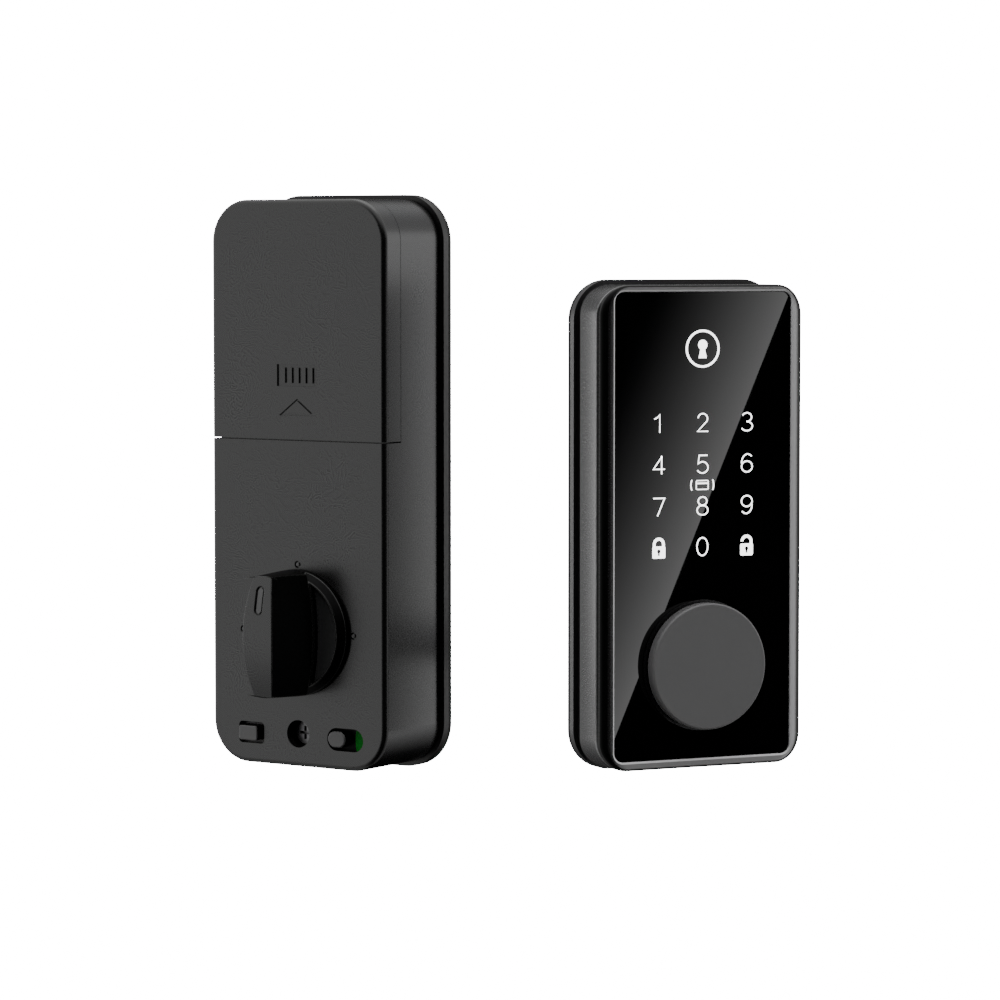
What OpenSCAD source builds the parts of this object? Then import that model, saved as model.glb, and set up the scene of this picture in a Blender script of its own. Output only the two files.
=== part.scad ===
// Keypad smart lock for a door: the indoor half with its thumb turn stands on the left, the outdoor
// half with its touch keypad on the right, both turned a little away from each other.
// Each half is drawn in its own frame, with the lock axis on y, the door at y = 0, the face towards -y
// and z up. A "depth" is a distance from the door towards the face.

/* [Arrangement] */
// How far each half is turned away from straight ahead, in degrees
yaw = 29; // [0:1:40]
// Distance between the two lock axes, side to side
pair_gap = 97; // [85:1:140]
// Height of the outdoor lock axis over the indoor one
pair_lift = -10; // [-10:1:0]

/* [Indoor half] */
// Width of the indoor housing
in_w = 66; // [66:1:70]
// Top of the indoor housing over the lock axis
in_top = 132.5; // [132.5:0.5:140]
// Bottom of the indoor housing under the lock axis
in_bottom = 41.5; // [41:0.5:46]
// Depth of the indoor face
in_face = 33; // [33:0.5:36]
// Corner radius of the indoor face
in_corner = 13; // [9:0.5:14]
// Radius of the soft edge round the indoor face
in_edge = 1.6; // [0.6:0.1:2]
// Wall thickness of both housings
wall = 2.2; // [1.8:0.1:2.4]
// Height of the seam under the battery cover
seam_z = 59; // [58.5:0.5:60]
// How far the battery cover wraps back round the sides
cover_wrap = 8.3; // [8:0.1:9]

/* [Thumb turn] */
// Radius of the thumb turn's flange
turn_r = 19.4; // [18:0.1:19.4]
// How far the grip stands over the face
turn_h = 20.7; // [16:0.1:24]
// Widest part of the grip
grip_w = 11; // [9:0.5:13]
// Radius of the grip's bowed sides
grip_bow = 75; // [50:1:120]
// Radius of the grip's crowned front, which is lower at both ends
grip_crown = 58.5; // [50:0.5:90]

/* [Gears] */
// Tooth size of the gear train
gear_module = 0.8; // [0.8:0.1:0.8]
// Teeth on the thumb turn's gear
output_teeth = 40; // [40:1:40]
// Teeth on the idler's large wheel
idler_teeth = 32; // [32:1:32]
// Teeth on the idler's small wheel
small_teeth = 12; // [12:1:12]
// Teeth on the motor pinion
motor_teeth = 10; // [10:1:10]
// Extra distance between gear centres, for backlash
gear_slack = 0.1; // [0.08:0.01:0.15]

/* [Outdoor half] */
// Width of the outdoor housing
ex_w = 70; // [70:1:72]
// Top of the outdoor housing over the lock axis
ex_top = 116.5; // [116.5:0.5:122]
// Bottom of the outdoor housing under the lock axis
ex_bottom = 31.5; // [31.5:0.5:34]
// Depth of the outdoor rim
ex_face = 22.7; // [22.7:0.1:23]
// Corner radius of the outdoor housing
ex_corner = 9.5; // [8:0.5:10]
// How far the long sides curve in towards the rim
side_inset = 3.5; // [2:0.1:3.8]
// Radius of the key cover
cover_r = 19.4; // [17:0.1:19.4]
// Distance from the lock axis up to the key cover's pivot
pivot_z = 16.2; // [16.2:0.1:16.2]

/* [Door side] */
// Overhang of the door plates round each housing
lip = 1.5; // [1:0.1:2]
// Overhang of the outdoor plate at its two sides
side_lip = 0.2; // [0:0.1:1]
// Thickness of each gasket
gasket_t = 1.5; // [1:0.1:2]
// Distance between the two through bolts
bolt_gap = 38; // [38:0.5:38]

/* [Hidden] */
$fn = 96;
e = 0.01;
plate_top = 4;
in_back = 4.8;
skin = in_face - wall;
seam_d = in_face - cover_wrap;
seam_gap = 0.2;
cell_r = 7.1;
cell_len = 50.2;
cell_pitch = 14.5;
cell_d = 21.6;
cell_z = 69;
low_z = -32;
board_rest_z = -26.5;
rail_x = 29;
board_post_z = [62, 121];
button_x = -17.9;
slide_x = 17.8;
slider_x = slide_x - 3.1;
shutter_x = slider_x + 2.2;
screw_z = -31.3;
idler_z = gear_module * (output_teeth + small_teeth) / 2 + gear_slack;
motor_z = idler_z + gear_module * (idler_teeth + motor_teeth) / 2 + gear_slack;
post_x = 25.5;
post_z = [-21, 46];
shaft_r = 6;
journal_r = 9;
fit_gap = 0.05;
ex_back = 7.8;
shell_back = 5.4;
glass_w = ex_w - 9.8;
glass_top = ex_top - 2.15;
glass_bottom = ex_bottom - 2.9;
glass_d = ex_face - 1.1;
glass_t = 2;
cover_back = ex_face + 0.35;
collar_r = 17.8;
shell_r = 14.5;
plug_r = 6.35;
keypad_x = 15.1;
keypad_z = [74.6, 62.1, 49.1, 36.8];

// Helpers: each half's own frame, then shapes that are drawn by their depths

module indoor() rotate([0, 0, -yaw]) children();
module outdoor() translate([pair_gap, 0, pair_lift]) rotate([0, 0, yaw]) children();

// A flat shape drawn as x and z, filled from depth a to depth b
module slab(a, b) translate([0, -a, 0]) rotate([90, 0, 0]) linear_extrude(b - a) children();

// A round bar parallel to the lock axis at x, z
module bar(x, z, r, a, b) translate([x, -a, z]) rotate([90, 0, 0]) cylinder(r = r, h = b - a);

// A turned shape: its profile is drawn as radius and depth
module turned(x, z) translate([x, 0, z]) rotate([90, 0, 0]) rotate_extrude() children();

// A box between two depths, centred on x and z
module block(x, z, w, h, a, b) translate([x - w / 2, -b, z - h / 2]) cube([w, b - a, h]);

module outline(w, top, bottom, r) {
  translate([-w / 2 + r, -bottom]) square([w - 2 * r, top + bottom]);
  translate([-w / 2, -bottom + r]) square([w, top + bottom - 2 * r]);
  for (x = [-w / 2 + r, w / 2 - r], z = [-bottom + r, top - r]) translate([x, z]) circle(r);
}

module pill(w, h) {
  square([w - h, h], center = true);
  for (s = [-1, 1]) translate([s * (w - h) / 2, 0]) circle(h / 2);
}

module edge_profile(r, d, edge) difference() {
  square([r, d]);
  translate([r - edge, d - edge]) difference() {
    square(edge + 1);
    circle(edge);
  }
}

// A rounded block from depth a to depth b whose front edge is rounded all round: a core, four straight
// strips and four turned corners that meet on flat faces
module soft_block(w, top, bottom, r, a, b, edge) {
  hx = w / 2 - r;
  high = top - r;
  low = r - bottom;
  slab(a, b) translate([-hx, low]) square([2 * hx, high - low]);
  for (s = [-1, 1])
    translate([s * hx, -a, s > 0 ? low : high]) rotate([0, s > 0 ? 0 : 180, 0])
      mirror([0, 1, 0]) linear_extrude(high - low) edge_profile(r, b - a, edge);
  translate([-hx, -a, high]) rotate([0, 90, 0]) mirror([0, 1, 0]) mirror([1, 0, 0])
    linear_extrude(2 * hx) edge_profile(r, b - a, edge);
  translate([-hx, -a, low]) rotate([0, 90, 0]) mirror([0, 1, 0])
    linear_extrude(2 * hx) edge_profile(r, b - a, edge);
  for (c = [[hx, high, 0], [-hx, high, 90], [-hx, low, 180], [hx, low, 270]])
    translate([c[0], -a, c[1]]) rotate([90, 0, 0]) rotate([0, 0, c[2]])
      rotate_extrude(angle = 90) edge_profile(r, b - a, edge);
}

// Involute of the base circle at roll angle t, in degrees
function involute(base, t) =
  [base * (cos(t) + t * PI / 180 * sin(t)), base * (sin(t) - t * PI / 180 * cos(t))];
function turn_point(p, a) = [p[0] * cos(a) - p[1] * sin(a), p[0] * sin(a) + p[1] * cos(a)];

// A spur gear outline with 20 degree teeth, one tooth centred on angle zero
module gear_outline(teeth, thin = 0.12) {
  pitch = gear_module * teeth / 2;
  base = pitch * cos(20);
  tip = pitch + gear_module;
  root = pitch - 1.25 * gear_module;
  roll_tip = sqrt(pow(tip / base, 2) - 1) * 180 / PI;
  roll_pitch = tan(20) * 180 / PI;
  half = 90 / teeth - thin / pitch * 90 / PI + roll_pitch - 20;
  start = root > base ? sqrt(pow(root / base, 2) - 1) * 180 / PI : 0;
  flank = [for (i = [0:4]) turn_point(involute(base, start + (roll_tip - start) * i / 4), -half)];
  foot = turn_point([root, 0], -half);
  tooth = concat([foot], flank);
  other = [for (i = [len(tooth) - 1:-1:0]) [tooth[i][0], -tooth[i][1]]];
  one = concat(tooth, other);
  polygon([for (k = [0:teeth - 1]) for (p = one) turn_point(p, k * 360 / teeth)]);
}

module spur(x, z, teeth, a, b, phase = 0)
  translate([x, -a, z]) rotate([90, 0, 0]) linear_extrude(b - a) rotate(phase) gear_outline(teeth);

// A screw with a cross recess: head from depth head_a to head_b, shank from depth tip_a up to the head
module cross_screw(x, z, head_r, shank_r, tip_a, head_a, head_b) {
  difference() {
    union() {
      bar(x, z, shank_r, tip_a, head_a + e);
      bar(x, z, head_r, head_a, head_b);
    }
    for (a = [0, 90])
      translate([x, -head_b, z]) rotate([0, a, 0]) cube([head_r * 1.2, 2.4, 0.9], center = true);
  }
}

// Indoor half: door plate and housing

module door_holes(a, b) {
  bar(0, 0, 10, a, b);
  slab(a, b) translate([0, 20]) square([14, 9], center = true);
}

module in_gasket() color([0.05, 0.05, 0.05]) indoor() difference() {
  slab(0, gasket_t) outline(in_w + 2 * lip, in_top + lip, in_bottom + lip, in_corner + lip);
  door_holes(-1, 5);
  for (s = [-1, 1]) bar(s * bolt_gap / 2, 0, 4.5, -1, 5);
  bar(0, screw_z, 3, -1, 5);
}

module in_plate() color([0.07, 0.07, 0.075]) indoor() difference() {
  union() {
    slab(gasket_t, plate_top)
      outline(in_w + 2 * lip, in_top + lip, in_bottom + lip, in_corner + lip);
    slab(plate_top - e, in_back) outline(in_w - 3, in_top - 1.5, in_bottom - 1.5, in_corner - 1.5);
  }
  slab(plate_top, 6) outline(in_w - 8, in_top - 4, in_bottom - 4, in_corner - 4);
  door_holes(-1, 6);
  for (s = [-1, 1]) bar(s * bolt_gap / 2, 0, 2.75, -1, 6);
  bar(0, screw_z, 1.5, -1, 6);
}

module housing_boss(x, z, r, hole_r) difference() {
  bar(x, z, r, 9.2, skin + e);
  bar(x, z, hole_r, 9, skin - 2);
}

module in_housing() color([0.06, 0.06, 0.063]) indoor() difference() {
  union() {
    difference() {
      soft_block(in_w, in_top, in_bottom, in_corner, in_back, in_face, in_edge);
      // above the seam the front belongs to the battery cover
      slab(seam_d, in_face + 1) translate([-50, seam_z - seam_gap]) square([100, 100]);
      slab(in_back - 1, skin) difference() {
        outline(in_w - 2 * wall, in_top - wall, in_bottom - wall, in_corner - wall);
        translate([-50, seam_z - wall - seam_gap]) square([100, 100]);
      }
      slab(in_back - 1, seam_d - 2)
        outline(in_w - 2 * wall, in_top - wall, in_bottom - wall, in_corner - wall);
      slab(seam_d - 3, seam_d + 1) intersection() {
        outline(in_w - 2 * wall, in_top - wall, in_bottom - wall, in_corner - wall);
        translate([-50, seam_z + 1]) square([100, 100]);
      }
    }
    // rails that the battery cover hooks under
    for (s = [-1, 1]) {
      block(s * (rail_x + 1.1), 90, 2.2, 52, seam_d - 3, seam_d - 0.3);
      block(s * (rail_x + 0.4), 90, 0.8, 52, seam_d - 3, seam_d + 4);
      block(s * (rail_x + 0.75), 90, 1.5, 52, seam_d + 3, seam_d + 4);
    }
    // lip that closes the seam from behind
    block(0, seam_z + 0.4, 61.8, 2.8, seam_d - 2, skin);
    // thumb turn bearing, screw tower and gear plate bosses
    bar(0, 0, journal_r + 3, 25, skin + e);
    bar(0, screw_z, 5.6, in_back, skin + e);
    for (s = [-1, 1], z = post_z) housing_boss(s * post_x, z, 3.2, 1.2);
    for (s = [-1, 1]) block(s * 27.7, board_rest_z, 6.6, 2, 19.6, skin + e);
  }
  bar(0, 0, journal_r + fit_gap, 20, 40);
  slab(in_face - 0.3, in_face + 1) circle(turn_r + 0.1);
  for (p = [[0, 1], [1, 0], [-1, 0]]) bar(p[0] * 20.9, p[1] * 20.9, 1.15, in_face - 0.6, in_face + 1);
  slab(skin - 1, in_face + 1) translate([button_x, low_z]) outline(9.7, 3.35, 3.35, 1.3);
  slab(skin - 1, in_face + 1) translate([slide_x, low_z]) pill(13.5, 7);
  bar(0, screw_z, 4.25, 26.6, in_face + 1);
  bar(0, screw_z, 1.7, in_back - 1, 27);
}

module index_pins() color([0.25, 0.25, 0.26]) indoor()
  for (p = [[0, 1], [1, 0], [-1, 0]]) bar(p[0] * 20.9, p[1] * 20.9, 0.55, in_face - 0.6, in_face + 0.05);

module housing_screw() color([0.3, 0.3, 0.32]) indoor()
  cross_screw(0, screw_z, 3.4, 1.5, gasket_t + 0.2, 26.6, 29.2);

// Battery bay

module cover_arrow(size) polygon([[-size, 0], [size, 0], [0, size * 0.75]]);

module battery_cover() color([0.06, 0.06, 0.063]) indoor() {
  difference() {
    soft_block(in_w, in_top, in_bottom, in_corner, in_back, in_face, in_edge);
    slab(0, seam_d + seam_gap) square(400, center = true);
    slab(0, in_face + 1) translate([-50, -150]) square([100, 150 + seam_z + seam_gap]);
    slab(0, in_face - 2) difference() {
      outline(in_w - 3.6, in_top - 1.8, in_bottom, in_corner - 1.8);
      translate([-50, -150]) square([100, 150]);
    }
    // grip panel: a framed recess with five bars left standing
    slab(in_face - 0.5, in_face + 1) translate([0, 78.8]) difference() {
      square([15.2, 6.7], center = true);
      for (i = [-2:2]) translate([i * 2.6, 0]) square([1.3, 4.7], center = true);
    }
    slab(in_face - 0.5, in_face + 1) translate([0, 66.5]) difference() {
      cover_arrow(6.9);
      translate([0, 0.7]) cover_arrow(5.1);
    }
  }
  // hooks that run in the housing's rails
  for (s = [-1, 1]) block(s * (rail_x + 1.8), 90, 1.2, 40, seam_d + 0.3, seam_d + 2.6);
}

module battery_tray() color([0.09, 0.09, 0.09]) indoor() difference() {
  union() {
    slab(13.2, seam_d - 0.6) intersection() {
      outline(2 * rail_x - 0.6, in_top - wall - 0.2, in_bottom, in_corner - wall - 0.2);
      translate([-50, seam_z + 2]) square([100, 66]);
    }
    // posts that the main board sits on
    for (s = [-1, 1], z = board_post_z) bar(s * 22, z, 2.6, 8, 13.3);
  }
  for (i = [-1.5:1.5]) translate([i * cell_pitch, -cell_d, cell_z - 4]) {
    cylinder(r = cell_r + 0.15, h = cell_len + 8);
    translate([-cell_r - 0.15, -12, 0]) cube([2 * cell_r + 0.3, 12, cell_len + 8]);
  }
}

module cell(i) color([0.16, 0.3, 0.2]) indoor()
  translate([(i - 2.5) * cell_pitch, -cell_d, cell_z]) mirror([0, 0, i % 2])
    translate([0, 0, i % 2 ? -cell_len : 0]) {
      cylinder(r = cell_r, h = cell_len - 1.2);
      cylinder(r = 2.7, h = cell_len);
    }
module cell_1() cell(1);
module cell_2() cell(2);
module cell_3() cell(3);
module cell_4() cell(4);

// Conical springs are drawn as three stacked rings joined by short wires
module cell_springs() color([0.75, 0.74, 0.7]) indoor()
  for (i = [0:3]) translate([(i - 1.5) * cell_pitch, -cell_d, i % 2 ? cell_z - 4 : cell_z + cell_len])
    for (k = [0:2]) translate([0, 0, 0.4 + k * 1.25]) {
      rotate_extrude() translate([3.4 - (i % 2 ? k : 2 - k) * 0.5, 0]) circle(0.35, $fn = 24);
      if (k < 2) translate([2.9, 0, 0]) cylinder(r = 0.5, h = 1.25, $fn = 24);
    }

module cell_contacts() color([0.75, 0.74, 0.7]) indoor()
  for (i = [0:3]) translate([(i - 1.5) * cell_pitch, -cell_d, i % 2 ? cell_z + cell_len + 0.1 : cell_z - 0.6])
    translate([-4.5, -4, 0]) cube([9, 8, 0.5]);

// Boards and switches of the indoor half

module main_board() color([0.05, 0.28, 0.14]) indoor() difference() {
  slab(6.4, 8) outline(54, 126, -57, 4);
  for (s = [-1, 1], z = board_post_z) bar(s * 22, z, 1.6, 5, 9);
}

module main_chips() color([0.06, 0.06, 0.06]) indoor() {
  block(-8, 84, 10, 10, 8, 9.6);
  block(9, 92, 7, 9, 8, 9.4);
  block(10, 76, 6, 5, 8, 9.3);
  block(-12, 104, 14, 10, 8, 10.4);
  for (i = [0:4]) block(-16 + i * 8, 114, 2, 3.4, 8, 9);
}

module buzzer() color([0.04, 0.04, 0.04]) indoor() difference() {
  bar(16, 106, 6, 8, 12.4);
  bar(16, 106, 1, 11, 13);
}

module cable_socket() color([0.85, 0.83, 0.76]) indoor() difference() {
  block(0, 61, 13, 6, 8, 12.6);
  block(0, 60, 11, 6.2, 9, 11.6);
}

module end_switches() color([0.08, 0.08, 0.08]) indoor() for (s = [-1, 1]) {
  block(s * 22.5, 8, 6, 12.8, 9.2, 15);
  block(s * 19, 5, 1.6, 2, 10.5, 12.5);
}

module lower_board() color([0.05, 0.28, 0.14]) indoor() difference() {
  slab(18, 19.6) outline(52, -24.6, 38.2, 4);
  bar(0, screw_z, 5.8, 17, 21);
}

module setup_button() color([0.2, 0.2, 0.2]) indoor() {
  slab(29.4, in_face + 2) translate([button_x, low_z]) outline(7, 2.25, 2.25, 0.8);
  slab(29.4, skin - 0.1) translate([button_x, low_z]) outline(10.8, 4.1, 4.1, 1);
  bar(button_x, low_z, 1.4, 25, 29.5);
}

module setup_spring() color([0.75, 0.74, 0.7]) indoor()
  for (k = [0:4]) {
    translate([button_x, -23.5 - k * 1.35, low_z]) rotate([90, 0, 0])
      rotate_extrude() translate([2.2, 0]) circle(0.3, $fn = 24);
    if (k < 4) bar(button_x + 2.2, low_z, 0.25, 23.5 + k * 1.35, 24.85 + k * 1.35);
  }

module setup_switch() color([0.1, 0.1, 0.1]) indoor() {
  block(button_x, low_z, 6, 6, 19.6, 23.2);
  bar(button_x, low_z, 1.5, 23.2, 23.7);
}

module privacy_slider() color([0.2, 0.2, 0.2]) indoor()
  slab(30.1, in_face + 0.4) translate([slider_x, low_z]) pill(6.5, 5);

// Black shutter that rides behind the slot, with a tail that works the switch
module privacy_shutter() color([0.05, 0.05, 0.05]) indoor() {
  slab(28.9, 30.1) translate([shutter_x, low_z]) pill(12.8, 7.8);
  block(slider_x, low_z, 1.6, 2, 25, 29);
}

module privacy_flag() color([0.02, 0.45, 0.12]) indoor() slab(30.1, 30.4) intersection() {
  translate([shutter_x, low_z]) pill(12.8, 7.8);
  translate([slide_x + 1.3, low_z - 5]) square(10);
}

module privacy_switch() color([0.1, 0.1, 0.1]) indoor() difference() {
  block(slide_x, low_z, 14, 6.4, 19.6, 26.6);
  block(slide_x, low_z, 9.2, 2.6, 24.4, 27);
}

// Thumb turn and its gear train

module gear_plate() color([0.62, 0.63, 0.65]) indoor() difference() {
  slab(8, 9.2) translate([0, (post_z[0] + post_z[1]) / 2])
    outline(58, (post_z[1] - post_z[0]) / 2 + 4.5, (post_z[1] - post_z[0]) / 2 + 4.5, 4);
  bar(0, 0, shaft_r + fit_gap, 7, 10);
  bar(0, idler_z, 1.5, 7, 10);
  for (s = [-1, 1], z = post_z) bar(s * post_x, z, 1.2, 7, 10);
}

module gear_screws() color([0.7, 0.7, 0.72]) indoor()
  for (s = [-1, 1], z = post_z) {
    bar(s * post_x, z, 2.4, 6.4, 8);
    bar(s * post_x, z, 1.2, 8, 18);
  }

module idler_pin() color([0.75, 0.75, 0.77]) indoor() {
  bar(0, idler_z, 1.5, 8, 23.4);
  bar(0, idler_z, 2.6, 23, 23.8);
}

module idler_gear() color([0.9, 0.88, 0.8]) indoor() difference() {
  union() {
    spur(0, idler_z, idler_teeth, 12.5, 15.5);
    bar(0, idler_z, 3, 9.6, 17.5);
    spur(0, idler_z, small_teeth, 17.4, 22.6, 15);
    bar(0, idler_z, 3.6, 15.4, 17.5);
  }
  bar(0, idler_z, 1.5 + fit_gap, 9, 24);
}

module motor_bracket() color([0.62, 0.63, 0.65]) indoor() {
  difference() {
    block(0, 38.5, 24, 14.5, 16, 16.9);
    bar(0, motor_z, 2.6, 15, 18);
  }
  for (s = [-1, 1]) bar(s * 9.5, 43.3, 2, 9.2, 16.01);
}

module motor() color([0.72, 0.72, 0.74]) indoor() {
  slab(16.9, 30) translate([0, motor_z]) intersection() {
    circle(6);
    square([13, 10], center = true);
  }
  bar(0, motor_z, 2.5, 16, 16.91);
}

module motor_pinion() color([0.8, 0.65, 0.3]) indoor() {
  spur(0, motor_z, motor_teeth, 12.3, 15.6);
  bar(0, motor_z, 2.6, 10.6, 12.4);
  bar(0, motor_z, 1, 9.6, 15.8);
}

module output_gear() color([0.9, 0.88, 0.8]) indoor() difference() {
  spur(0, 0, output_teeth, 18, 22);
  bar(0, 0, journal_r, 17, 23);
}

module turn_hub() color([0.7, 0.7, 0.72]) indoor() difference() {
  union() {
    bar(0, 0, shaft_r, 6.2, 18);
    bar(0, 0, journal_r, 18, in_face - 0.3);
    bar(0, 0, journal_r + 1.6, 22, 24.6);
    bar(0, 0, 5, in_face - 0.4, in_face + 6);
  }
  bar(0, 0, 4.2, 6, 16);
  slab(16 - e, 22) square([9.6, 2.6], center = true);
  turned(0, 0) translate([shaft_r - 0.5, 6.8]) square([1, 0.7]);
}

module turn_clip() color([0.55, 0.55, 0.56]) indoor() turned(0, 0)
  translate([shaft_r - 0.5, 6.8]) square([2.1, 0.7]);

// The grip's bowed side, turned about an axis far behind it, flaring into the flange
module grip_side(side) {
  top = in_face + turn_h;
  floor_d = in_face + 3.6;
  flare = 51;
  translate([-side * (grip_bow - grip_w / 2), 0, 0]) rotate([90, 0, 0])
    rotate([0, 0, side > 0 ? -30 : 150]) rotate_extrude(angle = 60) intersection() {
      translate([grip_bow, floor_d]) square([40, turn_h]);
      union() {
        translate([grip_bow + flare, top]) circle(flare, $fn = 240);
        translate([grip_bow + 3, floor_d]) square([40, turn_h]);
      }
    }
}

// Drum across the grip whose surface lies a given distance under the crowned front
module crown_drum(under) translate([-turn_r - 1, grip_crown - in_face - turn_h, 0])
  rotate([0, 90, 0]) cylinder(r = grip_crown - under, h = 2 * turn_r + 2, $fn = 240);

// Crescent on one side of the grip, from a bow at its foot out to radius r
module flank(side, r, foot) difference() {
  circle(r);
  translate([side * (foot - grip_bow), 0]) circle(grip_bow, $fn = 240);
  translate([-side * 50, 0]) square(100, center = true);
}

module thumb_turn() color([0.05, 0.05, 0.052]) indoor() difference() {
  intersection() {
    turned(0, 0) polygon([
      [0, in_face - 0.2], [turn_r - 0.6, in_face - 0.2], [turn_r, in_face + 0.4],
      [turn_r, in_face + 3.2], [turn_r - 1, in_face + turn_h], [0, in_face + turn_h]
    ]);
    crown_drum(0);
  }
  for (s = [-1, 1]) grip_side(s);
  // finger scoops, then the sloping rim of the flange on both sides of the grip
  for (s = [-1, 1]) slab(in_face + 2.2, in_face + 4) flank(s, turn_r - 2.6, 9);
  for (s = [-1, 1]) intersection() {
    slab(in_face, in_face + 3.7) flank(s, turn_r + 1, 6.5);
    turned(0, 0) polygon([
      [turn_r - 2.1, in_face + 3.7], [turn_r + 1, in_face + 3.7], [turn_r + 1, in_face + 0.6]
    ]);
  }
  difference() {
    slab(in_face + turn_h - 4, in_face + turn_h + 1) translate([0, 11.2]) rotate(90) pill(8.6, 2.8);
    crown_drum(0.6);
  }
  bar(0, 0, 5, in_face - 1, in_face + 6);
}

module turn_grip_mark() color([0.22, 0.22, 0.23]) indoor() difference() {
  intersection() {
    slab(in_face + turn_h - 4, in_face + turn_h) translate([0, 11.2]) rotate(90) pill(7.6, 1.8);
    crown_drum(0.25);
  }
  crown_drum(0.6);
}

// Outdoor half: door plate, housing and glass

module ex_gasket() color([0.05, 0.05, 0.05]) outdoor() difference() {
  slab(0, gasket_t) outline(ex_w + 2 * side_lip, ex_top + lip, ex_bottom + lip, ex_corner + 3);
  door_holes(-1, 5);
  for (s = [-1, 1]) bar(s * bolt_gap / 2, 0, 4.6, -1, 5);
  for (s = [-1, 1], z = [-21, 104]) bar(s * 25, z, 3.4, -1, 5);
}

module ex_plate() color([0.1, 0.1, 0.105]) outdoor() difference() {
  union() {
    slab(gasket_t, plate_top)
      outline(ex_w + 2 * side_lip, ex_top + lip, ex_bottom + lip, ex_corner + 3);
    slab(plate_top - e, ex_back) outline(ex_w - 3, ex_top - 1.5, ex_bottom - 1.5, ex_corner - 1.5);
  }
  slab(plate_top, ex_back + 1) outline(ex_w - 8, ex_top - 4, ex_bottom - 4, ex_corner - 4);
  door_holes(-1, 6);
  for (s = [-1, 1]) bar(s * bolt_gap / 2, 0, 4, -1, 6);
  for (s = [-1, 1], z = [-21, 104]) {
    bar(s * 25, z, 1.5, -1, 6);
    bar(s * 25, z, 2.8, -1, 3);
  }
}

// Level section of the outdoor housing: straight sides that curve in towards the rim
module side_section() {
  reach = 4;
  bend = (reach * reach + side_inset * side_inset) / (2 * side_inset);
  difference() {
    translate([-ex_w / 2, ex_back]) square([ex_w, ex_face - ex_back]);
    for (s = [-1, 1]) translate([s * (ex_w / 2 - bend), ex_face - reach]) difference() {
      translate([s > 0 ? 0 : -bend - 5, 0]) square([bend + 5, reach + 1]);
      circle(bend, $fn = 240);
    }
  }
}

module ex_housing() color([0.13, 0.13, 0.135]) outdoor() difference() {
  union() {
    difference() {
      intersection() {
        soft_block(ex_w, ex_top, ex_bottom, ex_corner, ex_back, ex_face, 0.7);
        translate([0, 0, -60]) mirror([0, 1, 0]) linear_extrude(220) side_section();
      }
      slab(ex_back - 1, 17.4)
        outline(ex_w - 2 * wall, ex_top - wall, ex_bottom - wall, ex_corner - wall);
    }
    for (s = [-1, 1], z = [-21, 104]) bar(s * 25, z, 3, ex_back, 17.5);
  }
  slab(glass_d - glass_t, ex_face + 1) outline(glass_w, glass_top, glass_bottom, 3);
  // window for the light guide and round hole for the collar
  slab(17, 22) translate([0, 70]) outline(46, 32, 42, 2);
  bar(0, 0, collar_r + 0.1, 17, 22);
  for (s = [-1, 1], z = [-21, 104]) bar(s * 25, z, 1.5, ex_back - 1, 15);
}

module glass_panel() color([0.01, 0.01, 0.012]) outdoor() difference() {
  slab(glass_d - glass_t, glass_d) outline(glass_w - 0.2, glass_top - 0.1, glass_bottom - 0.1, 2.9);
  bar(0, 0, collar_r + 0.1, 10, 30);
}

module light_guide() color([0.85, 0.85, 0.85]) outdoor() difference() {
  slab(17.1, glass_d - glass_t) translate([0, 70]) outline(45, 31, 41, 2);
  for (x = [-keypad_x, 0, keypad_x], z = keypad_z) bar(x, z, 3.2, 16, 18.6);
}

module key_leds() color([0.95, 0.95, 0.9]) outdoor()
  for (x = [-keypad_x, 0, keypad_x], z = keypad_z) block(x, z, 1.6, 0.8, 17.1, 17.7);

module touch_board() color([0.05, 0.28, 0.14]) outdoor() difference() {
  slab(15.5, 17.1) outline(58, 100, -22, 3);
  for (s = [-1, 1], z = [26, 96]) bar(s * 26, z, 1.2, 15, 18);
}

module card_antenna() color([0.75, 0.42, 0.2]) outdoor() slab(15.2, 15.5) difference() {
  outline(52, 97, -30, 4);
  outline(47, 94.5, -32.5, 2);
}

module touch_chips() color([0.06, 0.06, 0.06]) outdoor() {
  block(0, 60, 9, 9, 14, 15.5);
  block(12, 76, 6, 5, 14.2, 15.5);
  block(-12, 78, 5, 7, 14.2, 15.5);
}

module board_socket() color([0.85, 0.83, 0.76]) outdoor() difference() {
  block(0, 40, 13, 6, 11, 15.5);
  block(0, 39, 11, 6.2, 12, 14.5);
}

module plate_screws() color([0.55, 0.55, 0.57]) outdoor()
  for (s = [-1, 1], z = [-21, 104]) {
    bar(s * 25, z, 2.6, gasket_t + 0.1, 3);
    bar(s * 25, z, 1.5, 3, 13);
  }

module bolt_posts() color([0.65, 0.65, 0.67]) outdoor()
  for (s = [-1, 1]) difference() {
    union() {
      bar(s * bolt_gap / 2, 0, 4, -22, plate_top + e);
      bar(s * bolt_gap / 2, 0, 5, plate_top, 5.2);
    }
    bar(s * bolt_gap / 2, 0, 2.1, -23, 3);
  }

// Key cylinder and its cover

module lock_collar() color([0.45, 0.45, 0.47]) outdoor() difference() {
  turned(0, 0) {
    translate([shell_r, 12]) square([collar_r - shell_r, glass_d + 0.5 - 12]);
    translate([shell_r, glass_d]) square([20.1 - shell_r, 0.5]);
  }
  bar(0, pivot_z, 1.2 + fit_gap, 14, 30);
}

module cylinder_shell() color([0.6, 0.6, 0.62]) outdoor() difference() {
  bar(0, 0, shell_r, shell_back, 21);
  bar(0, 0, plug_r + fit_gap, 5, 22);
}

module key_plug() color([0.78, 0.66, 0.38]) outdoor() difference() {
  bar(0, 0, plug_r, 3.6, 21.2);
  block(0, 0, 1.7, 8.4, 9, 22);
  block(0.9, 1.6, 1, 1.4, 9, 22);
  block(0, 0, 8, 2.2, 3, 8);
}

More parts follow.
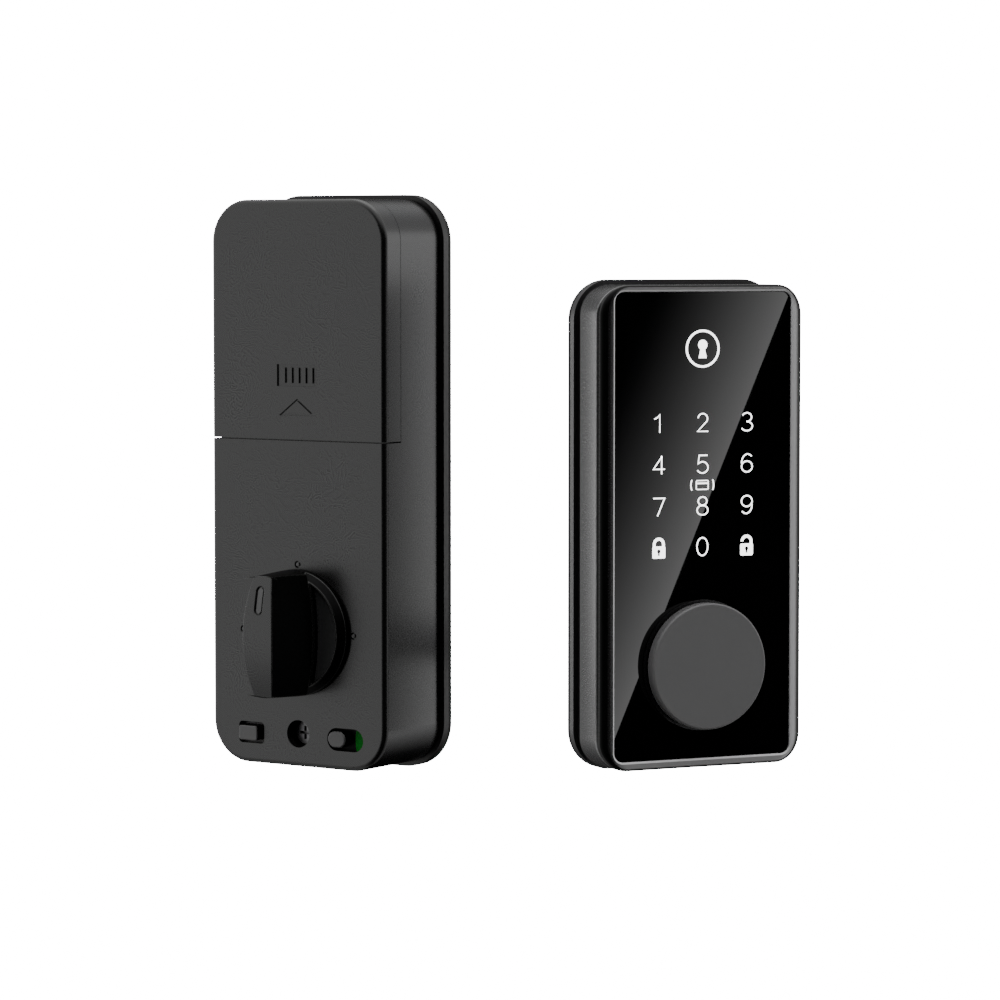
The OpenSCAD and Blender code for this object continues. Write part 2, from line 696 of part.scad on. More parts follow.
module plug_clip() color([0.55, 0.55, 0.56]) outdoor() difference() {
  bar(0, 0, 8, 4.3, 5.1);
  bar(0, 0, plug_r, 4, 6);
}

module tailpiece() color([0.7, 0.7, 0.72]) outdoor() block(0, 0, 8, 2.2, -42, 8);

module key_cover() color([0.12, 0.12, 0.125]) outdoor() difference() {
  turned(0, 0) polygon([
    [0, cover_back], [cover_r - 0.5, cover_back], [cover_r, cover_back + 0.5],
    [cover_r, glass_d + 4.9], [cover_r - 0.5, glass_d + 5.4], [0, glass_d + 5.4]
  ]);
  bar(0, 0, 13, glass_d, glass_d + 3.4);
  bar(0, pivot_z, 1.2, glass_d, glass_d + 3.6);
}

module cover_pin() color([0.7, 0.7, 0.72]) outdoor() bar(0, pivot_z, 1.2, 15, glass_d + 3.6);

in_gasket();
in_plate();
in_housing();
battery_cover();
battery_tray();
cell_1();
cell_2();
cell_3();
cell_4();
cell_springs();
cell_contacts();
main_board();
main_chips();
buzzer();
cable_socket();
gear_plate();
motor_bracket();
motor();
motor_pinion();
idler_gear();
idler_pin();
output_gear();
turn_hub();
turn_clip();
thumb_turn();
turn_grip_mark();
index_pins();
end_switches();
lower_board();
setup_button();
setup_spring();
setup_switch();
privacy_slider();
privacy_shutter();
privacy_flag();
privacy_switch();
housing_screw();
gear_screws();
ex_gasket();
ex_plate();
ex_housing();
glass_panel();
light_guide();
touch_board();
key_leds();
card_antenna();
touch_chips();
board_socket();
lock_collar();
key_cover();
cover_pin();
cylinder_shell();
key_plug();
plug_clip();
tailpiece();
bolt_posts();
plate_screws();
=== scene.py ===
import math
import bmesh
import bpy
import mathutils
import numpy as np
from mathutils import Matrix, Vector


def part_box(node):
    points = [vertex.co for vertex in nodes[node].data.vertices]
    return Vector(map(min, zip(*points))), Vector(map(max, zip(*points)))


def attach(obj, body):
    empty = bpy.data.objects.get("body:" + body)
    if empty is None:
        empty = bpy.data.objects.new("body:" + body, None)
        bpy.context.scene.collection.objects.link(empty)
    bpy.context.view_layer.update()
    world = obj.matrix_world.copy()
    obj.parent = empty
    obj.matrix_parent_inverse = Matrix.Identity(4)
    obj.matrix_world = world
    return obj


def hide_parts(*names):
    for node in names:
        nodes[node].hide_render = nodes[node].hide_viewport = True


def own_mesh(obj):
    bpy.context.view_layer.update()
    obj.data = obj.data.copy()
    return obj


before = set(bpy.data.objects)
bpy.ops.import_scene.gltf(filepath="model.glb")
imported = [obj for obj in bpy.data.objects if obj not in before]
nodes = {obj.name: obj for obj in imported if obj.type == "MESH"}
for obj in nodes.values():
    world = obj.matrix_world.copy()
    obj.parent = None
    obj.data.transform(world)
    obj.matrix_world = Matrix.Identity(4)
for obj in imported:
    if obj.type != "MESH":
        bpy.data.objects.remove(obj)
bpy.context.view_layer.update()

mm = 0.001

# how the two halves stand: turned outwards by yaw, lock axes a gap apart
pair = {"yaw": 29.0, "gap": 97 * mm, "lift": -10 * mm}


def halfToWorld(half, x, depth, z):
    # a half's own frame (right, out of the door, up) turned about z, then shifted for the outdoor half
    turn = math.radians(pair["yaw"]) * (1 if half == "out" else -1)
    shift = (pair["gap"], pair["lift"]) if half == "out" else (0, 0)
    x, depth, z = np.broadcast_arrays(*(np.asarray(v, float) for v in (x, depth, z)))
    wide = x * math.cos(turn) + depth * math.sin(turn) + shift[0]
    deep = x * math.sin(turn) - depth * math.cos(turn)
    return np.stack([wide, deep, z + shift[1]], -1)


def meshPiece(name, verts, faces, body, smooth=True):
    mesh = bpy.data.meshes.new(name)
    mesh.from_pydata(verts.reshape(-1, 3).tolist(), [], faces)
    tidyMesh(mesh)
    mesh.polygons.foreach_set("use_smooth", np.full(len(mesh.polygons), smooth))
    piece = bpy.data.objects.new(name, mesh)
    bpy.context.scene.collection.objects.link(piece)
    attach(piece, body)
    return piece


def tidyMesh(mesh):
    # doubles merged, then every face turned outwards
    work = bmesh.new()
    work.from_mesh(mesh)
    bmesh.ops.remove_doubles(work, verts=work.verts, dist=1e-7)
    bmesh.ops.recalc_face_normals(work, faces=work.faces)
    work.to_mesh(mesh)
    work.free()


def gridFaces(rows, cols, wrapRows, wrapCols):
    # quads between neighbouring rows and columns of a grid of points
    i = np.arange(rows if wrapRows else rows - 1)
    j = np.arange(cols if wrapCols else cols - 1)
    a, b = np.meshgrid(i, j, indexing="ij")
    a2, b2 = (a + 1) % rows, (b + 1) % cols
    quads = np.stack([a * cols + b, a * cols + b2, a2 * cols + b2, a2 * cols + b], -1)
    return quads.reshape(-1, 4).tolist()


def cornerOutline(halfWidth, top, bottom, radius, steps):
    # rounded rectangle: four quarter circles joined by straight lines; gives points and outward normals
    turn = np.linspace(0, math.pi / 2, steps)
    angle = np.concatenate([turn + k * math.pi / 2 for k in range(4)])
    side = np.repeat([1, -1, -1, 1], steps)
    level = np.repeat([1, 1, -1, -1], steps)
    up = np.where(level > 0, top - radius, -(bottom - radius))
    x = side * (halfWidth - radius) + radius * np.cos(angle)
    z = up + radius * np.sin(angle)
    return x, z, np.cos(angle), np.sin(angle)


def tube(path, radius, sides):
    # round wire: a circle carried along the path in the plane of its normal and binormal, with closed ends
    ahead = np.gradient(path, axis=0)
    ahead /= np.linalg.norm(ahead, axis=1)[:, None]
    guide = np.cross(ahead, np.array([0.13, 0.21, 0.97]))
    guide /= np.linalg.norm(guide, axis=1)[:, None]
    other = np.cross(ahead, guide)
    angle = np.linspace(0, 2 * math.pi, sides, endpoint=False)
    ring = guide[:, None] * np.cos(angle)[None, :, None] + other[:, None] * np.sin(angle)[None, :, None]
    verts = path[:, None] + radius * ring
    faces = gridFaces(len(path), sides, False, True)
    last = (len(path) - 1) * sides
    faces += [list(range(sides)), [last + k for k in range(sides - 1, -1, -1)]]
    return verts, faces


def finishMaterial(name, look):
    # two mottled colours, roughness and fine relief from noise in object space
    mat = bpy.data.materials.new(name)
    mat.use_nodes = True
    tree = mat.node_tree
    shader = tree.nodes["Principled BSDF"]
    shader.inputs["Metallic"].default_value = look.get("metal", 0.0)
    shader.inputs["IOR"].default_value = look.get("ior", 1.5)
    shader.inputs["Coat Weight"].default_value = look.get("coat", 0.0)
    shader.inputs["Coat Roughness"].default_value = look.get("coatRough", 0.1)
    coords = tree.nodes.new("ShaderNodeTexCoord")
    stretch = tree.nodes.new("ShaderNodeMapping")
    stretch.inputs["Scale"].default_value = look.get("stretch", (1, 1, 1))
    tree.links.new(coords.outputs["Object"], stretch.inputs["Vector"])
    blotch = tree.nodes.new("ShaderNodeTexNoise")
    blotch.inputs["Scale"].default_value = look.get("blotch", 60)
    blotch.inputs["Detail"].default_value = 4
    tree.links.new(coords.outputs["Object"], blotch.inputs["Vector"])
    grain = tree.nodes.new("ShaderNodeTexNoise")
    grain.inputs["Scale"].default_value = look.get("grain", 2200)
    grain.inputs["Detail"].default_value = 2
    tree.links.new(stretch.outputs["Vector"], grain.inputs["Vector"])
    colour = tree.nodes.new("ShaderNodeMix")
    colour.data_type = "RGBA"
    colour.inputs["A"].default_value = (*look["base"], 1)
    colour.inputs["B"].default_value = (*look.get("other", [c * 1.15 for c in look["base"]]), 1)
    tree.links.new(blotch.outputs["Fac"], colour.inputs["Factor"])
    tree.links.new(colour.outputs["Result"], shader.inputs["Base Color"])
    rough = tree.nodes.new("ShaderNodeMapRange")
    rough.inputs["From Min"].default_value = 0.3
    rough.inputs["From Max"].default_value = 0.7
    rough.inputs["To Min"].default_value = look["rough"][0]
    rough.inputs["To Max"].default_value = look["rough"][1]
    tree.links.new(grain.outputs["Fac"], rough.inputs["Value"])
    tree.links.new(rough.outputs["Result"], shader.inputs["Roughness"])
    bump = tree.nodes.new("ShaderNodeBump")
    bump.inputs["Strength"].default_value = look.get("bump", 0.5)
    bump.inputs["Distance"].default_value = look.get("relief", 10e-6)
    tree.links.new(grain.outputs["Fac"], bump.inputs["Height"])
    tree.links.new(bump.outputs["Normal"], shader.inputs["Normal"])
    return mat


finishes = {
    "gasket": {"base": (0.004, 0.004, 0.004), "rough": (0.7, 0.85), "grain": 900, "relief": 60e-6},
    "platePaint": {"base": (0.004, 0.004, 0.004), "rough": (0.34, 0.44), "grain": 1500, "relief": 6e-6,
                   "ior": 1.42},
    "outdoorPlate": {"base": (0.012, 0.012, 0.0125), "rough": (0.3, 0.4), "grain": 1500, "relief": 4e-6,
                     "ior": 1.58},
    "bodyBlack": {"base": (0.0016, 0.0016, 0.0016), "other": (0.0022, 0.0022, 0.0022), "blotch": 25,
                  "rough": (0.24, 0.3), "grain": 3200, "relief": 4e-6, "bump": 0.3},
    "turnBlack": {"base": (0.0015, 0.0015, 0.0015), "rough": (0.24, 0.3), "grain": 3000, "relief": 2e-6},
    # a darker, duller copy of the black plastic for faces turned away from the front: painted shade
    "cheekPaintedShade": {"base": (0.0008, 0.0008, 0.0008), "rough": (0.34, 0.42), "grain": 3000, "relief": 2e-6,
                   "ior": 1.16},
    # a paler copy of the black plastic for the outward faces in the scoops: painted light
    "scoopPaintedLight": {"base": (0.03, 0.03, 0.0305), "rough": (0.3, 0.36), "grain": 3000, "relief": 2e-6,
                   "ior": 1.25},
    "buttonGrey": {"base": (0.06, 0.06, 0.06), "rough": (0.42, 0.5), "grain": 2600},
    "trayBlack": {"base": (0.03, 0.03, 0.03), "rough": (0.5, 0.6), "grain": 1800},
    "springSteel": {"base": (0.62, 0.61, 0.58), "metal": 1.0, "rough": (0.2, 0.32), "grain": 1500},
    "gearPlastic": {"base": (0.72, 0.69, 0.6), "rough": (0.4, 0.5), "grain": 900},
    "gearBrass": {"base": (0.68, 0.5, 0.22), "metal": 1.0, "rough": (0.24, 0.36), "grain": 1600},
    "plateSteel": {"base": (0.5, 0.5, 0.52), "metal": 1.0, "rough": (0.25, 0.42),
                   "stretch": (1, 1, 0.04), "grain": 1800},
    "screwSteel": {"base": (0.33, 0.33, 0.34), "metal": 1.0, "rough": (0.28, 0.4), "grain": 1500},
    "blackOxide": {"base": (0.1, 0.1, 0.102), "metal": 0.7, "rough": (0.28, 0.38), "grain": 1800},
    "motorSteel": {"base": (0.56, 0.56, 0.57), "metal": 1.0, "rough": (0.2, 0.3),
                   "stretch": (1, 1, 0.1), "grain": 1200},
    "chipBlack": {"base": (0.02, 0.02, 0.02), "rough": (0.5, 0.65), "grain": 2500},
    "socketWhite": {"base": (0.7, 0.68, 0.6), "rough": (0.4, 0.5), "grain": 1500},
    "flagGreen": {"base": (0.0, 0.22, 0.008), "other": (0.0, 0.1, 0.004), "blotch": 2500, "rough": (0.5, 0.6),
                  "grain": 1500, "ior": 1.2},
    "outdoorPaint": {"base": (0.008, 0.008, 0.0085), "other": (0.011, 0.011, 0.0115), "rough": (0.24, 0.28),
                     "grain": 3600, "relief": 8e-7, "bump": 0.25, "ior": 1.75},
    # darker copies of the housing paint for the rolled edge, in two steps: painted shade
    "rollPaintedShade": {"base": (0.004, 0.004, 0.004), "rough": (0.24, 0.3), "grain": 3600, "relief": 8e-7,
                  "ior": 1.4},
    "rollPaintedShadeDeep": {"base": (0.0015, 0.0015, 0.0015), "rough": (0.3, 0.36), "grain": 3600, "relief": 8e-7,
                  "ior": 1.2},
    "glassBlack": {"base": (0.001, 0.001, 0.0011), "rough": (0.004, 0.009), "grain": 120,
                   "relief": 1e-7, "bump": 0.05, "ior": 1.52},
    "guideWhite": {"base": (0.75, 0.75, 0.74), "rough": (0.35, 0.5), "grain": 900},
    "coilCopper": {"base": (0.65, 0.3, 0.14), "metal": 1.0, "rough": (0.25, 0.35), "grain": 1500},
    "collarMetal": {"base": (0.05, 0.05, 0.052), "metal": 0.9, "rough": (0.2, 0.28), "grain": 2400},
    "coverGrey": {"base": (0.11, 0.11, 0.112), "other": (0.12, 0.12, 0.122), "rough": (0.42, 0.5),
                  "grain": 3600, "relief": 5e-6},
    "castZinc": {"base": (0.5, 0.5, 0.51), "metal": 1.0, "rough": (0.35, 0.5), "grain": 900, "relief": 20e-6},
}
made = {name: finishMaterial(name, look) for name, look in finishes.items()}


def boardMaterial():
    # solder mask in two close greens with paler lines between, from a brick pattern
    mat = finishMaterial("boardGreen", {"base": (0.01, 0.11, 0.04), "rough": (0.28, 0.4), "grain": 900})
    tree = mat.node_tree
    shader = tree.nodes["Principled BSDF"]
    colour = shader.inputs["Base Color"].links[0].from_node
    coords = next(n for n in tree.nodes if n.type == "TEX_COORD")
    tracks = tree.nodes.new("ShaderNodeTexBrick")
    tracks.inputs["Scale"].default_value = 260
    tracks.inputs["Mortar Size"].default_value = 0.03
    tracks.inputs["Color1"].default_value = (0.01, 0.11, 0.04, 1)
    tracks.inputs["Color2"].default_value = (0.012, 0.13, 0.05, 1)
    tracks.inputs["Mortar"].default_value = (0.02, 0.2, 0.08, 1)
    tree.links.new(coords.outputs["Object"], tracks.inputs["Vector"])
    tree.links.new(tracks.outputs["Color"], colour.inputs["A"])
    return mat


def cellMaterial():
    # printed sleeve: a copper-coloured band near the top of a dark green tube
    mat = finishMaterial("cellWrap", {"base": (0.02, 0.07, 0.035), "rough": (0.22, 0.3), "grain": 600})
    tree = mat.node_tree
    colour = tree.nodes["Principled BSDF"].inputs["Base Color"].links[0].from_node
    coords = next(n for n in tree.nodes if n.type == "TEX_COORD")
    split = tree.nodes.new("ShaderNodeSeparateXYZ")
    tree.links.new(coords.outputs["Object"], split.inputs["Vector"])
    band = tree.nodes.new("ShaderNodeValToRGB")
    band.color_ramp.interpolation = "CONSTANT"
    band.color_ramp.elements[0].color = (0.55, 0.3, 0.12, 1)
    band.color_ramp.elements[1].position = 0.28
    band.color_ramp.elements[1].color = (0.02, 0.07, 0.035, 1)
    low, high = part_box("cell_1")
    level = tree.nodes.new("ShaderNodeMapRange")
    level.inputs["From Min"].default_value = low.z
    level.inputs["From Max"].default_value = high.z
    tree.links.new(split.outputs["Z"], level.inputs["Value"])
    tree.links.new(level.outputs["Result"], band.inputs["Fac"])
    tree.links.new(band.outputs["Color"], colour.inputs["A"])
    tree.links.new(band.outputs["Color"], colour.inputs["B"])
    return mat


def rimMaterial():
    # the housing's paint, mixed to pale grey and rougher where the lip attribute marks the edge round the
    # glass and the left ridge: a painted highlight
    mat = finishMaterial("outdoorPaint", finishes["outdoorPaint"])
    tree = mat.node_tree
    shader = tree.nodes["Principled BSDF"]
    lip = tree.nodes.new("ShaderNodeAttribute")
    lip.attribute_name = "lip"
    # painted highlight: pale base colour and higher roughness mixed in by the lip attribute's weight
    for socket, kind, value in (("Base Color", "RGBA", (0.65, 0.65, 0.655, 1)), ("Roughness", "FLOAT", 0.4)):
        paintedHighlight = tree.nodes.new("ShaderNodeMix")
        paintedHighlight.data_type = kind
        paintedHighlight.inputs["B"].default_value = value
        tree.links.new(lip.outputs["Fac"], paintedHighlight.inputs["Factor"])
        tree.links.new(shader.inputs[socket].links[0].from_socket, paintedHighlight.inputs["A"])
        tree.links.new(paintedHighlight.outputs["Result"], shader.inputs[socket])
    return mat


def legendMaterial():
    # white ink lit from behind
    mat = finishMaterial("legendWhite", {"base": (0.85, 0.85, 0.86), "rough": (0.4, 0.5), "grain": 1500})
    shader = mat.node_tree.nodes["Principled BSDF"]
    shader.inputs["Emission Color"].default_value = (1, 1, 1, 1)
    shader.inputs["Emission Strength"].default_value = 3.5
    return mat


made["boardGreen"] = boardMaterial()
made["cellWrap"] = cellMaterial()
made["legendWhite"] = legendMaterial()
made["outdoorPaint"] = rimMaterial()

nodeFinish = {
    "gasket": ["in_gasket", "ex_gasket"],
    "platePaint": ["in_plate"],
    "outdoorPlate": ["ex_plate"],
    "bodyBlack": ["in_housing", "battery_cover"],
    "turnBlack": ["thumb_turn"],
    # the privacy shutter is all in the painted-shade black
    "cheekPaintedShade": ["privacy_shutter"],
    "buttonGrey": ["setup_button", "privacy_slider", "index_pins", "turn_grip_mark"],
    "trayBlack": ["battery_tray"],
    "cellWrap": ["cell_1", "cell_2", "cell_3", "cell_4"],
    "springSteel": ["cell_springs", "cell_contacts", "setup_spring", "turn_clip", "plug_clip"],
    "gearPlastic": ["idler_gear", "output_gear"],
    "gearBrass": ["motor_pinion", "key_plug"],
    "plateSteel": ["gear_plate", "motor_bracket", "idler_pin"],
    "screwSteel": ["gear_screws", "cover_pin", "plate_screws"],
    "blackOxide": ["housing_screw"],
    "motorSteel": ["motor"],
    "chipBlack": ["main_chips", "touch_chips", "buzzer", "end_switches", "setup_switch", "privacy_switch"],
    "socketWhite": ["cable_socket", "board_socket"],
    "flagGreen": ["privacy_flag"],
    "outdoorPaint": ["ex_housing"],
    "glassBlack": ["glass_panel"],
    "guideWhite": ["light_guide", "key_leds"],
    "coilCopper": ["card_antenna"],
    "collarMetal": ["lock_collar"],
    "coverGrey": ["key_cover"],
    "castZinc": ["turn_hub", "cylinder_shell", "tailpiece", "bolt_posts"],
    "boardGreen": ["main_board", "lower_board", "touch_board"],
}
for finish, members in nodeFinish.items():
    for member in members:
        nodes[member].data.materials.clear()
        nodes[member].data.materials.append(made[finish])
print("finishes made")

outdoor = {
    "width": 70 * mm, "top": 116.5 * mm, "bottom": 31.5 * mm, "corner": 9.5 * mm,
    "back": 7.8 * mm, "face": 22.7 * mm, "backEdge": 0.4 * mm,
    "sideReach": 4 * mm, "sideInset": 3.5 * mm, "endReach": 1.2 * mm, "endInset": 0.9 * mm,
    "glassWidth": 60.2 * mm, "glassTop": 114.35 * mm, "glassBottom": 28.6 * mm, "glassCorner": 3 * mm,
    "lip": 0.7 * mm, "seat": 19.62 * mm, "ledge": 2 * mm, "wall": 2.2 * mm,
    # painted highlight in pale paint: its level on the flat rim by side, and its start and spread in degrees
    # of the rolled edge
    "rimHighlightLevel": 0.3, "rightHighlightLevel": 0.45, "highlightStart": 76, "highlightSpread": 12,
    "ridgeHighlightLevel": 0.3, "ridgeAt": 9, "ridgeSpread": 6,
}


def outdoorHousing(look):
    # a closed profile carried round a rounded rectangle; the front edge is a quarter ellipse whose
    # reach and inset blend from the long sides to the short ends with the square of the side normal
    steps, backRows, rollRows = 25, 5, 17
    x, z, nx, nz = cornerOutline(look["width"] / 2, look["top"], look["bottom"], look["corner"], steps)
    sideways = nx ** 2
    reach = sideways * look["sideReach"] + (1 - sideways) * look["endReach"]
    inset = sideways * look["sideInset"] + (1 - sideways) * look["endInset"]
    gx, gz, _, _ = cornerOutline(
        look["glassWidth"] / 2, look["glassTop"], look["glassBottom"], look["glassCorner"], steps)
    rows = []
    for angle in np.linspace(0, math.pi / 2, backRows):
        off = look["backEdge"] * (1 - math.sin(angle))
        depth = look["back"] + look["backEdge"] * (1 - math.cos(angle))
        rows.append((x - nx * off, depth, z - nz * off))
    for angle in np.linspace(0, math.pi / 2, rollRows):
        off = inset * (1 - math.cos(angle))
        rows.append((x - nx * off, look["face"] - reach * (1 - math.sin(angle)), z - nz * off))
    # painted highlight in pale paint: a faint ridge where the left side starts to roll, the right of the flat
    # rim and the whole lip
    sweep = np.linspace(0, 90, rollRows)[:, None]
    rimPaintedHighlight = np.clip(look["rimHighlightLevel"] + look["rightHighlightLevel"] * nx, 0, 1)
    near = np.clip(1 - np.abs(sweep - look["ridgeAt"]) / look["ridgeSpread"], 0, 1)
    ridge = look["ridgeHighlightLevel"] * near * np.clip(-nx, 0, 1)
    paintedHighlight = np.clip((sweep - look["highlightStart"]) / look["highlightSpread"], 0, 1) * rimPaintedHighlight
    paintedHighlightWeight = [np.zeros((backRows, len(x))), ridge + paintedHighlight]
    # flat rim, a small round lip, then down to the glass seat
    for angle in np.linspace(0, math.pi / 2, 7):
        out = look["lip"] * (1 - math.sin(angle))
        drop = look["lip"] * (1 - math.cos(angle))
        rows.append((gx + nx * out, look["face"] - drop, gz + nz * out))
        paintedHighlightWeight.append(np.where(angle == 0, rimPaintedHighlight, angle < 1.2)[None])
    ledge, wall = look["ledge"], look["wall"]
    rows.append((gx, look["seat"], gz))
    rows.append((gx - nx * ledge, look["seat"], gz - nz * ledge))
    rows.append((gx - nx * ledge, look["seat"] - wall, gz - nz * ledge))
    rows.append((x - nx * wall, look["seat"] - wall, z - nz * wall))
    rows.append((x - nx * wall, look["back"], z - nz * wall))
    grid = np.stack([halfToWorld("out", *row) for row in rows])
    faces = gridFaces(len(rows), len(x), True, True)
    piece = meshPiece("outdoorShell", grid, faces, "lock_halves")
    paintedHighlightWeight = np.concatenate([*paintedHighlightWeight, np.zeros((len(rows) - sum(map(len, paintedHighlightWeight)), len(x)))])
    # the lip attribute holds the weight of the painted highlight
    piece.data.attributes.new("lip", "FLOAT", "POINT").data.foreach_set("value", paintedHighlightWeight.ravel())
    sharp = piece.modifiers.new("edges", "EDGE_SPLIT")
    sharp.split_angle = math.radians(40)
    for finish in ("outdoorPaint", "rollPaintedShade", "rollPaintedShadeDeep"):
        piece.data.materials.append(made[finish])
    # the roll is darker in two steps, by rows of the quarter ellipse: painted shade
    finishOfRow = np.zeros(len(rows), int)
    finishOfRow[backRows + 3:backRows + 6] = 1
    finishOfRow[backRows + 6:backRows + 13] = 2
    piece.data.polygons.foreach_set("material_index", np.repeat(finishOfRow, len(x)))
    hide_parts("ex_housing")
    return piece


outdoorHousing(outdoor)
print("outdoor housing made")

softened = {
    "thumb_turn": {"width": 0.24 * mm, "finishes": ("turnBlack", "cheekPaintedShade", "scoopPaintedLight"),
                   "scoopDepth": 45 * mm, "slot": "turn_black", "body": "thumb_turn"},
    "setup_button": {"width": 0.3 * mm, "finishes": ("buttonGrey", "cheekPaintedShade"), "slot": "button_grey",
                     "body": "setup_button"},
    "privacy_slider": {"width": 0.5 * mm, "finishes": ("buttonGrey", "cheekPaintedShade"), "slot": "button_grey",
                       "body": "privacy_slider"},
}


def softenedCopy(node, look):
    # the node's own mesh, merged, with flat areas joined, whose sharp edges a bevel rounds
    mesh = nodes[node].data.copy()
    work = bmesh.new()
    work.from_mesh(mesh)
    bmesh.ops.remove_doubles(work, verts=work.verts, dist=2e-6)
    bmesh.ops.dissolve_limit(work, angle_limit=math.radians(0.6), verts=work.verts, edges=work.edges)
    bmesh.ops.recalc_face_normals(work, faces=work.faces)
    work.to_mesh(mesh)
    work.free()
    mesh.name = node + "Soft"
    mesh.polygons.foreach_set("use_smooth", np.full(len(mesh.polygons), True))
    mesh.materials.clear()
    for finish in look["finishes"]:
        mesh.materials.append(made[finish])
    # faces that don't look out of the door are darker and duller, a painted shade; of the others, those below
    # scoopDepth are the scoops, in a paler black that is a painted light
    out = (halfToWorld("in", 0, 1, 0) - halfToWorld("in", 0, 0, 0)).ravel()
    normals, centres = np.empty((2, len(mesh.polygons) * 3))
    mesh.polygons.foreach_get("normal", normals)
    mesh.polygons.foreach_get("center", centres)
    facing = normals.reshape(-1, 3) @ out > 0.9
    scooped = centres.reshape(-1, 3) @ out < look.get("scoopDepth", 0)
    mesh.polygons.foreach_set("material_index", np.where(facing, scooped * 2, 1))
    piece = bpy.data.objects.new(mesh.name, mesh)
    bpy.context.scene.collection.objects.link(piece)
    bevel = piece.modifiers.new("rounded", "BEVEL")
    bevel.width = look["width"]
    bevel.segments = 3
    bevel.limit_method = "ANGLE"
    bevel.angle_limit = math.radians(32)
    bevel.use_clamp_overlap = False
    bevel.material = 0
    even = piece.modifiers.new("even", "WEIGHTED_NORMAL")
    even.weight = 80
    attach(piece, look["body"])
    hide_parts(node)
    return piece


for node, look in softened.items():
    softenedCopy(node, look)
print("softened copies made")

flag = {
    "x": 19.4 * mm, "z": -32 * mm, "radius": 3.9 * mm, "inset": 3.4 * mm, "low": 30.1 * mm, "high": 30.4 * mm,
}


def flagCrescent(look):
    # between the round end of the shutter and the same circle moved back by the inset
    angle = np.radians(np.linspace(-72, 72, 31))
    z = look["z"] + look["radius"] * np.sin(angle)
    outer = look["x"] + look["radius"] * np.cos(angle)
    inner = outer - look["inset"] * (np.cos(angle * 1.2) * 0.96 + 0.04)
    ring = [(outer, look["low"]), (outer, look["high"]), (inner, look["high"]), (inner, look["low"])]
    grid = np.stack([halfToWorld("in", x, depth, z) for x, depth in ring], 1)
    faces = gridFaces(len(z), 4, False, True) + [[3, 2, 1, 0], [4 * len(z) - k for k in (4, 3, 2, 1)]]
    piece = meshPiece("privacyFlag", grid, faces, "privacy_slider", smooth=False)
    piece.data.materials.append(made["flagGreen"])
    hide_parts("privacy_flag")


flagCrescent(flag)
print("privacy flag made")

springs = {
    "cell": {"pitch": 14.5 * mm, "depth": 21.6 * mm, "low": 65.2 * mm, "high": 119.3 * mm, "tall": 3.3 * mm,
             "wide": 3.6 * mm, "narrow": 2.2 * mm, "wire": 0.3 * mm, "turns": 3.5},
    "press": {"x": -17.9 * mm, "z": -32 * mm, "from": 23.5 * mm, "to": 29.1 * mm, "radius": 2.2 * mm,
              "wire": 0.25 * mm, "turns": 5},
}


def coneSpring(name, look, index):
    # a helix whose radius shrinks evenly towards the cell
    t = np.linspace(0, 1, 90)
    angle = 2 * math.pi * look["turns"] * t
    radius = look["wide"] + (look["narrow"] - look["wide"]) * t
    base = look["low"] if index % 2 else look["high"] + look["tall"]
    z = base + (t if index % 2 else -t) * look["tall"]
    middle = (index - 1.5) * look["pitch"]
    path = halfToWorld("in", middle + radius * np.cos(angle), look["depth"] + radius * np.sin(angle), z)
    verts, faces = tube(path, look["wire"], 8)
    piece = meshPiece(name, verts, faces, "lock_halves")
    piece.data.materials.append(made["springSteel"])
    return piece


def pressSpring(look):
    # a plain helix along the press cap's axis
    t = np.linspace(0, 1, 130)
    angle = 2 * math.pi * look["turns"] * t
    depth = look["from"] + (look["to"] - look["from"]) * t
    path = halfToWorld(
        "in", look["x"] + look["radius"] * np.cos(angle), depth, look["z"] + look["radius"] * np.sin(angle))
    verts, faces = tube(path, look["wire"], 8)
    piece = meshPiece("pressSpring", verts, faces, "lock_halves")
    piece.data.materials.append(made["springSteel"])
    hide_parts("setup_spring")
    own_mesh(piece)
    return piece


cellSprings = [coneSpring(f"cellSpring{k + 1}", springs["cell"], k) for k in range(4)]
for piece in cellSprings:
    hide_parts("cell_springs")
pressSpring(springs["press"])
print("springs made")

legend = {
    "columns": (-14.8 * mm, 0.1 * mm, 15.4 * mm),
    "rows": (74.4 * mm, 61.7 * mm, 48.9 * mm, 36.4 * mm),
    "digitHeight": 5.95 * mm, "digitSpread": 1.24, "stroke": 0.4 * mm, "depth": 21.6 * mm, "thick": 0.04 * mm,
    "lockWide": 4.4 * mm, "lockTall": 6.4 * mm, "cardZ": 55.3 * mm, "markZ": 97 * mm, "markRadius": 5.8 * mm,
}


def flatPiece(name, flat, move):
    # turns a filled flat curve into a thin closed plate on the glass
    thing = bpy.data.objects.new(name + "Curve", flat)
    bpy.context.scene.collection.objects.link(thing)
    bpy.context.view_layer.update()
    depsgraph = bpy.context.evaluated_depsgraph_get()
    mesh = bpy.data.meshes.new_from_object(thing.evaluated_get(depsgraph))
    bpy.data.objects.remove(thing)
    points = np.empty(len(mesh.vertices) * 3)
    mesh.vertices.foreach_get("co", points)
    points = points.reshape(-1, 3)
    x, z, out = move(points)
    place = halfToWorld("out", x, legend["depth"] + legend["thick"] * (0.5 + np.sign(out) * 0.5), z)
    mesh.vertices.foreach_set("co", place.ravel())
    mesh.name = name
    tidyMesh(mesh)
    mesh.materials.clear()
    mesh.materials.append(made["legendWhite"])
    piece = bpy.data.objects.new(name, mesh)
    bpy.context.scene.collection.objects.link(piece)
    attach(piece, "lock_halves")
    return piece


def arc(x, z, wide, tall, start, end):
    # part of an ellipse round x, z, between two angles in degrees
    count = max(8, int(abs(end - start) / 6))
    angle = np.radians(np.linspace(start, end, count, endpoint=abs(end - start) < 360))
    return np.column_stack([x + wide * np.cos(angle), z + tall * np.sin(angle)])


